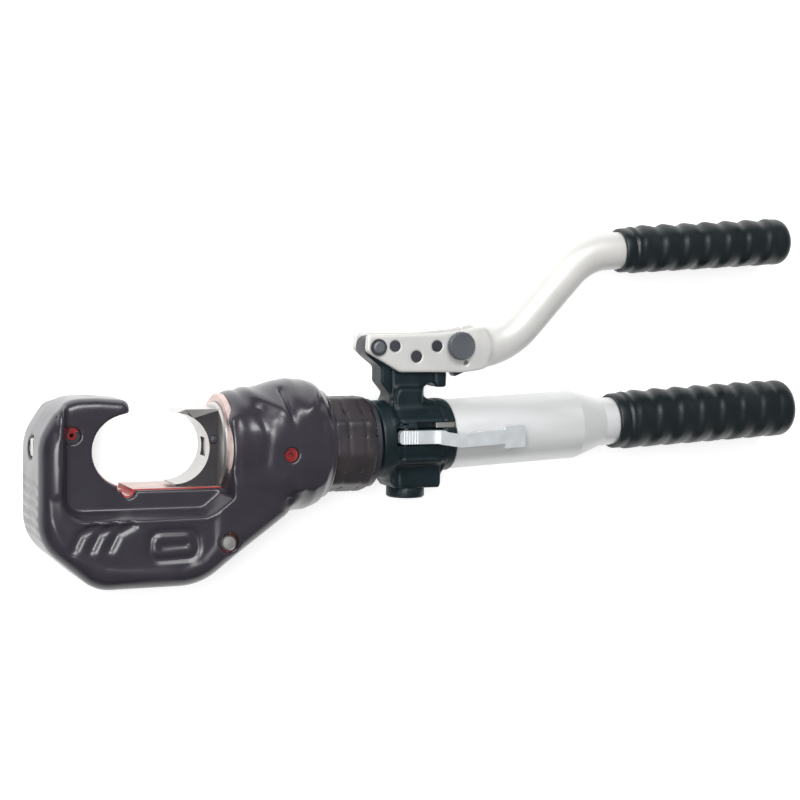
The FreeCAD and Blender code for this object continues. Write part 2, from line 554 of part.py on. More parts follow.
def make_moving_handle():
    path, corners = handle_path()
    direction = corners[1] - corners[0]
    tube = doc.addObject("Part::Feature", "handle_pipe")
    tube.Shape = pipe(path, corners[0], direction, size("lever_tube"))
    core = doc.addObject("Part::Feature", "handle_pipe_bore")
    core.Shape = pipe(path, corners[0], direction, size("lever_bore"))
    flare = doc.addObject("Part::Cone", "flare")
    flare.Radius1 = 12.6
    bind(flare, "Radius2", "lever_tube")
    flare.Height = 19
    flare.Placement = FreeCAD.Placement(corners[0], facing((direction.x, direction.y, 0)))
    fork = prism("fork", [("fulcrum_along - 7", "fulcrum_up - 2.4"), ("155.7", "39.9"),
                          ("196", "39.7"), ("209", "42"), ("209", "65.8"), ("192", "63.2"),
                          ("176", "61.6"), ("fulcrum_along - 6", "fulcrum_up + 7")],
                 "-fork_half", "fork_half",
                 (("4.5", (0, 7)), ("6", (1,)), ("8", (2,))))
    slot = block(("73.5", "40", "2 * slot_half"), (129, 30, "-slot_half"))
    holes = [rod("pin_radius", "30", ("fulcrum_along", "fulcrum_up", -15)),
             rod("drive_radius", "30", ("drive_along", "drive_up", -15)),
             rod("spacer_radius", "30", ("spacer_first", "spacer_up", -15)),
             rod("spacer_radius", "30", ("spacer_second", "spacer_up", -15)),
             rod("shaft_radius + hole_gap", "30", ("knob_along", "knob_up", -15))]
    body = cut(fuse(fork, flare, tube), slot, core, *holes)
    node(body, "moving_handle")
    spacers = fuse(rod("spacer_radius - 0.02", "24", ("spacer_first", "spacer_up", -12)),
                   rod("spacer_radius - 0.02", "24", ("spacer_second", "spacer_up", -12)))
    node(spacers, "fork_pins")
    node(rod("drive_radius - 0.03", "24", ("drive_along", "drive_up", -12)), "plunger_pin")
    slope = math.degrees(math.atan2(corners[3].y - corners[2].y, corners[3].x - corners[2].x))
    grip_start = size("upper_grip_start")
    at = corners[2] + (corners[3] - corners[2]) * ((grip_start - corners[2].x)
                                                   / (corners[3].x - corners[2].x))
    length = "(upper_grip_end - upper_grip_start)"
    grip = turned("upper_grip", [("0", "lever_tube"), ("0", "12.4"), ("1", "13"), ("7", "13"),
                                 ("9", "upper_grip_radius"), (length + " - 6", "upper_grip_radius"),
                                 (length + " - 1.6", "12"), (length, "8.6"), (length, "0"),
                                 (length + " - 3.2", "0"), (length + " - 3.2", "lever_tube")],
                  (at.x, at.y, 0), FreeCAD.Rotation(Z_AXIS, slope))
    node(grip, "moving_grip")


def make_plunger():
    stem = turned("plunger_stem", [("0", "0"), ("0", "4.6"), ("1", "plunger_radius"),
                                   ("40.2", "plunger_radius"), ("41.4", "4.2"), ("41.4", "0")],
                  ("plunger_along", "plunger_foot", 0), FreeCAD.Rotation(Z_AXIS, 90))
    eye = fuse(rod("drive_radius + 0.35", "20", ("plunger_along - 1.25", "drive_up", -10)),
               rod("drive_radius + 0.35", "20", ("plunger_along + 1.25", "drive_up", -10)),
               block(("2.5", "2 * drive_radius + 0.7", "20"),
                     ("plunger_along - 1.25", "drive_up - drive_radius - 0.35", -10)))
    groove_at = ("plunger_along", "plunger_foot + 2.5", 0)
    groove = cut(rod("8", "2.6", groove_at, Y_AXIS), rod("4.2", "2.6", groove_at, Y_AXIS))
    node(cut(stem, eye, groove), "pump_plunger")
    ring = turned("plunger_seal_solid", [("2.6", "4.25"), ("2.6", "5.3"), ("3.8", "plunger_radius"),
                                         ("5", "5.3"), ("5", "4.25")],
                  ("plunger_along", "plunger_foot", 0), FreeCAD.Rotation(Z_AXIS, 90))
    node(ring, "plunger_seal")


def make_release():
    foot = prism("lever_foot", [("151.6", "lever_low"), ("178", "lever_low"), ("178", "lever_high"),
                                ("151.6", "lever_high")], "lever_level", "lever_level + 3.4",
                 (("2", (0, 3)),))
    riser = prism("lever_riser", [("174.4", "lever_low"), ("178", "lever_low"), ("178", "lever_high"),
                                  ("174.4", "lever_high")], "lever_level", "lever_level + 7.6")
    arm = prism("lever_arm", [("174.4", "lever_low"), ("187", "lever_low - 2"), ("214", "0.4"),
                              ("214", "-2.2"), ("lever_tip", "-1.6"), ("lever_tip", "10.8"),
                              ("214", "10.4"), ("214", "8.6"), ("187", "6.2"),
                              ("174.4", "lever_high")], "lever_level + 4.8", "lever_level + 7.6",
                (("1.5", (4, 5)), ("0.8", (3, 6))))
    ribs = [rod("0.5", "9", (154 + 1.6 * k, 0, "lever_level + 3.5"), Y_AXIS) for k in range(6)]
    knuckle = rod("2.9", "6.8", ("lever_pivot", 1.1, "lever_level - 1.4"), Y_AXIS)
    pivot = rod("pivot_pin + hole_gap", "20", ("lever_pivot", -5, "lever_level - 1.4"), Y_AXIS)
    lever = cut(fuse(foot, riser, arm, knuckle), pivot, *ribs)
    node(lever, "release_lever")
    needle = turned("needle", [("-1.5", "0"), ("0.2", "needle_radius"), ("10.4", "needle_radius"),
                               ("10.4", "3.9"), ("11.6", "3.9"), ("11.6", "needle_radius"),
                               ("lever_level - 0.4", "needle_radius"), ("lever_level - 0.4", "0")],
                    ("release_x", "valve_line", 0), FreeCAD.Rotation(Y_AXIS, -90))
    node(needle, "release_needle")
    spring("release_spring", 3.1, 0.4, 4.8, 3, (size("release_x"), size("valve_line"), 5.1), Z_AXIS)


def make_lock():
    knob = turned("knob", [("12", "0"), ("12", "knob_radius - 0.6"), ("12.6", "knob_radius"),
                           ("15.4", "knob_radius"), ("16.2", "knob_radius - 0.8"), ("16.2", "0")],
                  ("knob_along", "knob_up", 0), FreeCAD.Rotation(Y_AXIS, -90))
    teeth = 28
    grooves = [rod("0.45", "6", (size("knob_along") + size("knob_radius") * math.cos(k * math.tau / teeth),
                                 size("knob_up") + size("knob_radius") * math.sin(k * math.tau / teeth),
                                 11)) for k in range(teeth)]
    node(cut(knob, *grooves), "lock_knob")
    node(fuse(rod("shaft_radius", "26", ("knob_along", "knob_up", -14)),
              rod("5.2", "1.4", ("knob_along", "knob_up", -14.2))), "lock_shaft")
    hook_way = math.radians(-68)
    along = (math.cos(hook_way), math.sin(hook_way))
    side = (math.sin(hook_way), -math.cos(hook_way))
    shape = [(-4.6, 3), (5, 3), (8, 2.4), (13.6, 2.4), (13.6, 5.6), (14.6, 6), (17, 5.4),
             (17, -1.2), (15.6, -2.4), (5, -2.6), (-2, -4.6), (-4.6, -3)]
    outline = [("knob_along + %.3f" % (reach * along[0] + out * side[0]),
                "knob_up + %.3f" % (reach * along[1] + out * side[1])) for reach, out in shape]
    arm = prism("hook_arm", outline, "-3", "3")
    node(cut(arm, rod("shaft_radius", "20", ("knob_along", "knob_up", -10))), "lock_hook")


head_frame = make_head()
make_cover(head_frame)
make_head_fittings()
make_die_button()
make_ram()
spring("return_spring", 7.5, 1.1, 48.6, 14, (68.8, 0, 0), X_AXIS)
make_pump_body()
make_pump_fittings()
make_main_handle()
make_moving_handle()
make_plunger()
make_release()
make_lock()

doc.recompute()
faults = [o.Label + " " + " ".join(o.State) for o in doc.Objects
          if "Invalid" in o.State or "Error" in o.State]
for sub_part in nodes:
    if sub_part.Shape.isNull() or not sub_part.Shape.isValid():
        faults.append(sub_part.Label + " has no valid shape")
if faults:
    raise SystemExit("\n".join(faults))

os.makedirs("parts", exist_ok=True)
for sub_part in nodes:
    sub_part.Shape.exportStep("parts/%s.step" % sub_part.Label)
    box = sub_part.Shape.BoundBox
    print("%-20s solids %d  volume %9.1f  x %.1f..%.1f y %.1f..%.1f z %.1f..%.1f" % (
        sub_part.Label, len(sub_part.Shape.Solids), sub_part.Shape.Volume,
        box.XMin, box.XMax, box.YMin, box.YMax, box.ZMin, box.ZMax))
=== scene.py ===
"""Looks for the hydraulic compression tool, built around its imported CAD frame.

Lengths in the field functions are millimetres in the part's frame; meshes are stored in metres.
The moulded cover, the collar, the cast pump body and the lever handle are distance fields turned
into meshes; the grips are grids wrapped round an axis; everything else is the CAD node.
"""
import math

import bpy
import numpy as np
from mathutils import Matrix, Vector


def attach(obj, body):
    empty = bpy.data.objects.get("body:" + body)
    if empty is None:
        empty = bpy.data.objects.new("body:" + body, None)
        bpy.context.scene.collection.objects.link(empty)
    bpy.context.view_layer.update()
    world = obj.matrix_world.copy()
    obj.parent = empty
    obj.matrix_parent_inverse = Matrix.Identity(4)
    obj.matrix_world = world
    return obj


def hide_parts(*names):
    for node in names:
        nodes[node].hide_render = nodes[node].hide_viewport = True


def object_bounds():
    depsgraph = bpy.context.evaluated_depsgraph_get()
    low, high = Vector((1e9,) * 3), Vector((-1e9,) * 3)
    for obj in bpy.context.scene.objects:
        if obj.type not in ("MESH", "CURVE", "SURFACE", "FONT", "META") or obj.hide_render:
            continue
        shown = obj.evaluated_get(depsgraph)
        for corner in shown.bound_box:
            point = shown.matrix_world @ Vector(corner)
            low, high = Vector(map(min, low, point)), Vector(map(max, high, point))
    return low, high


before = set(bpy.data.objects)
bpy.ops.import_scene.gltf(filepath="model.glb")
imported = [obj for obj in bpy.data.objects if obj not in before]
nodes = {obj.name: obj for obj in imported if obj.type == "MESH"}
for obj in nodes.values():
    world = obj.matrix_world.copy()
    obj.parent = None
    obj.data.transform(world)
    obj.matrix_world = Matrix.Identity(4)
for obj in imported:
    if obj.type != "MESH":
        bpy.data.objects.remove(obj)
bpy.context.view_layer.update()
MM = 0.001

# Places and sizes that several pieces share, in millimetres
SEAT_RADIUS = 19.3
LEAN_AT = 115.4
LEAN_DEGREES = 3.1
LEAN = math.radians(LEAN_DEGREES)
FULCRUM = (142.2, 53.9)
DRIVE_PIN = (165.4, 48.8)
FORK_SPACERS = ((152.4, 54.6), (177.8, 54.6))
LOCK_SHAFT = (191.5, 54.8)
STOP_HOLE = (196, 45.2)
LEVER_BEND = (274, 108.5)
LEVER_END = (408, 117.6)
PLUNGER_X = 164.7


# ------------------------------------------------------------------ distance fields
def smooth_max(a, b, blend):
    """The larger of two fields, rounded where they are closer than blend."""
    overlap = np.maximum(blend - np.abs(a - b), 0) / blend
    return np.maximum(a, b) + overlap * overlap * blend / 4


def smooth_min(a, b, blend):
    return -smooth_max(-a, -b, blend)


def ramp(low, high, value):
    """0 below low, 1 above high, smooth between."""
    t = np.clip((value - low) / (high - low), 0, 1)
    return t * t * (3 - 2 * t)


def rounded_outline(corners, steps=7):
    """Corners are (x, y, radius); each is replaced by points on its arc."""
    points = []
    count = len(corners)
    for k, (x, y, radius) in enumerate(corners):
        here = Vector((x, y))
        back = (Vector(corners[k - 1][:2]) - here).normalized()
        onward = (Vector(corners[(k + 1) % count][:2]) - here).normalized()
        half = back.angle(onward) / 2
        if radius == 0 or half > 1.56:
            points.append((x, y))
            continue
        reach = radius / math.tan(half)
        centre = here + (back + onward).normalized() * radius / math.sin(half)
        start = here + back * reach - centre
        end = here + onward * reach - centre
        for step in range(steps + 1):
            ray = start.slerp(end, step / steps, start) if start.length else start
            points.append(tuple(centre + ray.normalized() * radius))
    return points


def outline_distance(x, y, points):
    """Signed distance to a closed outline, negative inside."""
    nearest = np.full(np.broadcast(x, y).shape, 1e9)
    inside = np.zeros(nearest.shape, bool)
    for (ax, ay), (bx, by) in zip(points, points[1:] + points[:1]):
        ex, ey = bx - ax, by - ay
        t = np.clip(((x - ax) * ex + (y - ay) * ey) / max(ex * ex + ey * ey, 1e-9), 0, 1)
        nearest = np.minimum(nearest, (x - ax - ex * t) ** 2 + (y - ay - ey * t) ** 2)
        if ay != by:
            inside ^= ((ay > y) != (by > y)) & (x < ex * (y - ay) / ey + ax)
    return np.where(inside, -1, 1) * np.sqrt(nearest)


def path_distance(x, y, points):
    """Distance to an open run of straight pieces, and how far along it the nearest point is."""
    nearest = np.full(np.broadcast(x, y).shape, 1e9)
    along = np.zeros(nearest.shape)
    travelled = 0.0
    for (ax, ay), (bx, by) in zip(points, points[1:]):
        ex, ey = bx - ax, by - ay
        length = math.hypot(ex, ey)
        t = np.clip(((x - ax) * ex + (y - ay) * ey) / (length * length), 0, 1)
        square = (x - ax - ex * t) ** 2 + (y - ay - ey * t) ** 2
        along = np.where(square < nearest, travelled + t * length, along)
        nearest = np.minimum(nearest, square)
        travelled += length
    return np.sqrt(nearest), along


def slab(value, low, high):
    """Negative between two planes."""
    return np.maximum(low - value, value - high)


def box_field(x, y, z, low, high):
    return np.maximum(np.maximum(slab(x, low[0], high[0]), slab(y, low[1], high[1])),
                      slab(z, low[2], high[2]))


def fold(x, y, path, width, height):
    """A soft ridge, or a groove if height is negative, along a run of points."""
    distance, _ = path_distance(x, y, path)
    return height * np.exp(-(distance / width) ** 2)


EDGES = [(0, 1), (2, 3), (4, 5), (6, 7), (0, 2), (1, 3), (4, 6), (5, 7), (0, 4), (1, 5), (2, 6), (3, 7)]


def field_mesh(name, field, low, high, cell):
    """A closed mesh of the surface where the field is zero: one point per crossed cell."""
    axes = [np.arange(a, b + cell, cell) for a, b in zip(low, high)]
    grid = field(axes[0][:, None, None], axes[1][None, :, None], axes[2][None, None, :])
    grid = np.broadcast_to(grid, [len(a) for a in axes])
    solid = grid < 0
    shape = [n - 1 for n in solid.shape]

    def corner(array, k):
        i, j, m = k & 1, (k >> 1) & 1, (k >> 2) & 1
        return array[i:i + shape[0], j:j + shape[1], m:m + shape[2]]

    filled = sum(corner(solid, k).astype(np.int8) for k in range(8))
    cells = np.argwhere((filled > 0) & (filled < 8))
    number = np.full(shape, -1, np.int64)
    number[tuple(cells.T)] = np.arange(len(cells))
    offsets = np.array([[k & 1, (k >> 1) & 1, (k >> 2) & 1] for k in range(8)], float)
    values = np.stack([grid[tuple((cells + offsets[k].astype(int)).T)] for k in range(8)], 1)
    total = np.zeros((len(cells), 3))
    count = np.zeros(len(cells))
    for a, b in EDGES:
        crossed = (values[:, a] < 0) != (values[:, b] < 0)
        share = np.where(crossed, values[:, a] / np.where(crossed, values[:, a] - values[:, b], 1), 0)
        total += crossed[:, None] * (offsets[a] + share[:, None] * (offsets[b] - offsets[a]))
        count += crossed
    points = (cells + total / count[:, None]) * cell + np.array([a[0] for a in axes])
    faces = []
    for axis in range(3):
        upper = [slice(None)] * 3
        lower = [slice(None)] * 3
        upper[axis] = slice(1, None)
        lower[axis] = slice(None, -1)
        change = solid[tuple(lower)].astype(np.int8) - solid[tuple(upper)].astype(np.int8)
        u, v = (axis + 1) % 3, (axis + 2) % 3
        for sign in (1, -1):
            where = np.argwhere(change == sign)
            where = where[(where[:, u] > 0) & (where[:, v] > 0)]
            around = []
            for du, dv in ((1, 1), (0, 1), (0, 0), (1, 0)):
                spot = where.copy()
                spot[:, u] -= du
                spot[:, v] -= dv
                around.append(number[tuple(spot.T)])
            quads = np.stack(around, 1)
            faces.append(quads if sign == 1 else quads[:, ::-1])
    faces = np.concatenate(faces)
    step = cell * 0.1
    for _ in range(3):
        here = field(*points.T)
        slope = np.stack([(field(*(points + step * np.eye(3)[k]).T)
                           - field(*(points - step * np.eye(3)[k]).T)) / (2 * step)
                          for k in range(3)], 1)
        steep = np.maximum((slope ** 2).sum(1), 0.25)
        move = slope * (here / steep)[:, None]
        size = np.linalg.norm(move, axis=1, keepdims=True)
        points = points - move * np.minimum(1, 0.4 * cell / np.maximum(size, 1e-9))
    return solid_object(name, points * MM, faces)


def solid_object(name, points, faces):
    """A smooth-shaded mesh object; points are in metres."""
    mesh = bpy.data.meshes.new(name)
    mesh.from_pydata([tuple(p) for p in points], [], [tuple(int(i) for i in f) for f in faces])
    mesh.validate()
    mesh.update()
    mesh.shade_smooth()
    piece = bpy.data.objects.new(name, mesh)
    bpy.context.scene.collection.objects.link(piece)
    return piece


def wrapped_grid(name, start, axis, profile, rings, sides=96):
    """A closed surface round an axis.  profile(along, angle) gives the radius at each ring."""
    axis = np.array(axis, float) / np.linalg.norm(axis)
    up = np.array([0.0, 0.0, 1.0])
    across = np.cross(up, axis)
    angles = np.linspace(0, 2 * math.pi, sides, endpoint=False)
    points = []
    for along, shape in rings:
        radius = profile(along, angles) if shape is None else np.full(sides, float(shape))
        ring = (np.array(start) + axis * along
                + radius[:, None] * (np.cos(angles)[:, None] * across + np.sin(angles)[:, None] * up))
        points.append(ring)
    count = len(points)
    faces = []
    for row in range(count - 1):
        for k in range(sides):
            nxt = (k + 1) % sides
            faces.append((row * sides + k, row * sides + nxt, (row + 1) * sides + nxt, (row + 1) * sides + k))
    faces.append(tuple(range(sides - 1, -1, -1)))
    faces.append(tuple((count - 1) * sides + k for k in range(sides)))
    return solid_object(name, np.concatenate(points) * MM, faces)


# ------------------------------------------------------------------ materials
def shader(name, colour, roughness, metallic=0.0, grain=0.0, grain_size=400.0, mottle=0.0,
           mottle_size=40.0, coat=0.0, wear=None, stretch=(1, 1, 1), tint=None, gloss=0.5):
    """A procedural material: mottled colour, uneven gloss, fine grain and worn edges."""
    material = bpy.data.materials.new(name)
    material.use_nodes = True
    tree = material.node_tree
    surface = tree.nodes["Principled BSDF"]
    link = tree.links.new
    surface.inputs["Metallic"].default_value = metallic
    surface.inputs["Coat Weight"].default_value = coat
    surface.inputs["Coat Roughness"].default_value = 0.22
    surface.inputs["Specular IOR Level"].default_value = gloss
    place = tree.nodes.new("ShaderNodeTexCoord")
    scaled = tree.nodes.new("ShaderNodeMapping")
    scaled.inputs["Scale"].default_value = stretch
    link(place.outputs["Object"], scaled.inputs["Vector"])

    def noise(size, detail=4.0):
        node = tree.nodes.new("ShaderNodeTexNoise")
        node.inputs["Scale"].default_value = size
        node.inputs["Detail"].default_value = detail
        link(scaled.outputs["Vector"], node.inputs["Vector"])
        return node

    def mapped(source, low, high, from_low=0.3, from_high=0.7):
        node = tree.nodes.new("ShaderNodeMapRange")
        node.inputs["From Min"].default_value = from_low
        node.inputs["From Max"].default_value = from_high
        node.inputs["To Min"].default_value = low
        node.inputs["To Max"].default_value = high
        link(source, node.inputs["Value"])
        return node.outputs["Result"]

    def mixed(factor, a, b):
        node = tree.nodes.new("ShaderNodeMix")
        node.data_type = "RGBA"
        link(factor, node.inputs["Factor"])
        for socket, value in ((node.inputs[6], a), (node.inputs[7], b)):
            if isinstance(value, tuple):
                socket.default_value = (*value, 1)
            else:
                link(value, socket)
        return node.outputs[2]

    patches = noise(mottle_size)
    darker = tuple(c * (1 - mottle) for c in colour)
    lighter = tuple(min(1.0, c * (1 + mottle)) for c in (tint or colour))
    base = mixed(mapped(patches.outputs["Fac"], 0, 1), darker, lighter)
    if wear:
        worn_colour, amount = wear
        geometry = tree.nodes.new("ShaderNodeNewGeometry")
        edges = mapped(geometry.outputs["Pointiness"], 0, amount, 0.53, 0.62)
        base = mixed(edges, base, worn_colour)
    link(base, surface.inputs["Base Color"])
    link(mapped(patches.outputs["Fac"], roughness * 0.8, min(1, roughness * 1.25)),
         surface.inputs["Roughness"])
    if grain:
        bump = tree.nodes.new("ShaderNodeBump")
        bump.inputs["Strength"].default_value = grain
        bump.inputs["Distance"].default_value = 0.0002
        link(noise(grain_size, 6.0).outputs["Fac"], bump.inputs["Height"])
        link(bump.outputs["Normal"], surface.inputs["Normal"])
    return material


MATERIALS = {
    "cover_rubber": shader("cover_rubber", (0.024, 0.0205, 0.030), 0.30, coat=0.35, mottle=0.10,
                           grain=0.12, grain_size=300, wear=((0.06, 0.055, 0.07), 0.5)),
    "collar_rubber": shader("collar_rubber", (0.021, 0.017, 0.022), 0.45, coat=0.05, mottle=0.18,
                            mottle_size=70, grain=0.2, grain_size=350, tint=(0.025, 0.019, 0.022)),
    "red_paint": shader("red_paint", (0.42, 0.035, 0.035), 0.38, mottle=0.2, grain=0.15),
    "red_enamel": shader("red_enamel", (0.20, 0.012, 0.016), 0.35, mottle=0.15, grain=0.15, coat=0.2),
    "rim_steel": shader("rim_steel", (0.60, 0.47, 0.44), 0.45, metallic=0.35, mottle=0.2,
                        mottle_size=120, grain=0.3),
    "bare_steel": shader("bare_steel", (0.58, 0.53, 0.51), 0.34, metallic=0.9, mottle=0.12,
                         mottle_size=60, grain=0.25, grain_size=900, stretch=(1, 1, 8)),
    "ram_dark": shader("ram_dark", (0.030, 0.028, 0.031), 0.5, metallic=0.1, mottle=0.3, grain=0.3,
                       gloss=0.35),
    "bright_steel": shader("bright_steel", (0.52, 0.51, 0.50), 0.34, metallic=0.9, mottle=0.08,
                           grain=0.12, grain_size=700),
    "dark_steel": shader("dark_steel", (0.050, 0.054, 0.064), 0.45, metallic=0.5, mottle=0.2, grain=0.2,
                         grain_size=800),
    "black_body": shader("black_body", (0.004, 0.012, 0.016), 0.42, mottle=0.25, mottle_size=90,
                         grain=0.3, grain_size=500, gloss=0.32, wear=((0.03, 0.055, 0.065), 0.6)),
    "light_alloy": shader("light_alloy", (0.66, 0.66, 0.645), 0.45, metallic=0.30, mottle=0.05,
                          mottle_size=25, grain=0.12, grain_size=600, tint=(0.69, 0.68, 0.66)),
    "tube_alloy": shader("tube_alloy", (0.70, 0.705, 0.71), 0.40, metallic=0.30, mottle=0.04,
                         mottle_size=18, grain=0.15, grain_size=900, stretch=(1, 6, 6)),
    "knob_steel": shader("knob_steel", (0.13, 0.142, 0.157), 0.42, metallic=0.5, mottle=0.15, grain=0.2,
                         grain_size=800),
    "grip_rubber": shader("grip_rubber", (0.0022, 0.0075, 0.0095), 0.40, mottle=0.2, mottle_size=60,
                          grain=0.3, grain_size=450, wear=((0.02, 0.035, 0.038), 0.5)),
    "black_rubber": shader("black_rubber", (0.012, 0.012, 0.012), 0.6, mottle=0.2, grain=0.2),
    "zinc": shader("zinc", (0.80, 0.84, 0.87), 0.38, metallic=0.6, mottle=0.02, mottle_size=160,
                   grain=0.1, grain_size=900),
    "wire": shader("wire", (0.28, 0.27, 0.26), 0.35, metallic=1.0, mottle=0.2, grain=0.1),
    "white_plastic": shader("white_plastic", (0.72, 0.70, 0.66), 0.5, mottle=0.05, grain=0.1),
    "brass": shader("brass", (0.62, 0.42, 0.16), 0.3, metallic=1.0, mottle=0.1, grain=0.1),
}


def paint(piece, material):
    piece.data.materials.clear()
    piece.data.materials.append(MATERIALS[material])


NODE_LOOKS = {
    "bright_steel": ["cover_rivet", "die_button", "ram_anchor", "body_anchor", "suction_ball",
                     "check_ball", "relief_ball", "lever_catch", "release_needle",
                     "pump_plunger"],
    "knob_steel": ["lock_knob", "fulcrum_pin"],
    "dark_steel": ["ram_button", "lever_pin", "fork_pins", "plunger_pin", "lock_shaft", "lock_hook",
                   "fulcrum_clips", "head_retainer"],
    "red_enamel": ["cross_pin", "barrel_screw"],
    "black_rubber": ["ram_seal", "spigot_seal", "plunger_seal", "oil_bladder"],
    "wire": ["return_spring", "die_button_spring", "ram_button_spring", "suction_spring",
             "check_spring", "relief_spring", "release_spring"],
    "white_plastic": ["ram_backup_ring"],
    "brass": ["plunger_gland", "bladder_plug", "bladder_ring"],
    "zinc": ["release_lever", "relief_screw"],
    "black_body": ["suction_plug"],
    "tube_alloy": ["main_tube"],
}
for look, names in NODE_LOOKS.items():
    for name in names:
        paint(nodes[name], look)


# ------------------------------------------------------------------ head cover
COVER_OUTLINE = rounded_outline([(1.6, 26.4, 5), (-16, 27.8, 30), (-35.5, 27.2, 20), (-48, 7, 24),
                                 (-48, -47.5, 26), (-17.5, -73, 22), (38.5, -72.4, 34), (87, -36, 5),
                                 (91, -8, 0), (54.5, -8, 0), (54.5, 16, 0), (1.6, 16, 0)])
STEEL_OUTLINE = rounded_outline([(-5.4, 22.3, 1.5), (-36, 22.3, 12), (-44.3, 6, 12), (-44.3, -43, 16),
                                 (-13, -69, 16), (41, -69, 22), (84, -34, 0), (84, -8, 0),
                                 (54.5, -8, 0), (54.5, 18, 0), (-5.4, 18, 0)])
COVER_PANEL = rounded_outline([(-34.8, 60, 0), (-34.8, -33.2, 10), (41, -33.2, 8), (52.1, -24, 0),
                               (52.1, 60, 0)])
STEEL_PANEL = rounded_outline([(-37.8, 60, 0), (-37.8, -36.2, 12), (44, -36.2, 10), (53, -24, 0),
                               (53, 60, 0)])
LOWER_RECESS = [(-42.6, -22.9), (-41.2, -33.5), (-35.9, -44.4), (-27.8, -54), (-14.3, -60.6),
                (-0.7, -62.2), (26.7, -63.1), (38.7, -58.8), (46, -50), (46, -34), (20, -25), (-30, -20)]
GRIP_PAD = rounded_outline([(10, -42, 5), (34, -42, 5), (36, -56, 5), (9, -57, 5)], steps=4)
SLEEVE_X = [54.9, 60, 72, 84, 92, 101, 107, 111, 113]
SLEEVE_R = [28.7, 29.5, 31.4, 35, 36.5, 35.8, 33.5, 30, 27.5]
LEAST_WALL = 1.8
EDGE_ROUNDING = 7.5
SIDE_PLATE, PANEL_RISE = 18.5, 10.0
SLEEVE_START, SLEEVE_END = 55.4, 113
FLATTENED_AT = 31
MOUTH_FACE = 51.7
SPINE_TOP = -20.9
CYLINDER_CLEARANCE = 24.3
BARREL_START = 52.4
RIB_PITCH = 5.5
CAVITY_X = [50, 55.1, 56.1, 66, 70, 106, 109, 109.05, 141]
CAVITY_R = [28.7, 28.7, 27.5, 27.5, 28.7, 28.7, 26.7, 24.7, 24.7]


def moulded_height(x, y, inside):
    """Half thickness of the moulded cover over the plate, with its bevel, recess and grip marks."""
    to_panel = outline_distance(x, y, COVER_PANEL)
    height = SIDE_PLATE + PANEL_RISE * ramp(-3.0, 3.6, to_panel)
    raised = ramp(0.5, 5.0, to_panel)
    height = height - 3.4 * raised * (1 - ramp(0, 12, inside)) ** 1.5
    recess = 1 - ramp(-2.4, 2.0, outline_distance(x, y, LOWER_RECESS))
    height = height - 1.2 * recess * raised
    for step in (0, 9.5, 19):
        mark = [(-31 + step, -50), (-27 + step, -42), (-19 + step, -38)]
        height = height + fold(x, y, mark, 2.5, -1.7) * raised
    height = height + fold(x, y, GRIP_PAD + GRIP_PAD[:1], 2.2, -1.6)
    height = height + fold(x, y, [(16, -49.5), (29, -49)], 2.4, -1.4)
    wave = np.sin(2 * math.pi * (x * 0.55 + y * 0.83) / 46)
    return height + 0.35 * wave * raised


def sleeve_radius(x, y):
    """Outer radius of the soft sleeve over the barrel: swollen, with the creases of a soft skin."""
    radius = np.interp(x, SLEEVE_X, SLEEVE_R)
    for path, width, height in (([(68, 30), (80, 22), (88, 6), (90, -18)], 3.4, 1.7),
                                ([(104, 32), (97, 20), (91, 4), (92, -20)], 3.0, 1.5),
                                ([(85, 30), (87, 14), (90, 0)], 2.2, -2.2),
                                ([(94, 6), (96, -4), (94, -15)], 1.8, -2.0),
                                ([(70, 20), (74, 8), (72, -6)], 3.0, -1.2),
                                ([(74, -24), (80, -29), (86, -28)], 2.4, -1.6),
                                ([(103, 14), (104, 0), (102, -16)], 2.2, -1.3)):
        radius = radius + fold(x, y, path, width, height)
    return np.maximum(radius, 30.2 - 1.2 * ramp(60, 55, x))


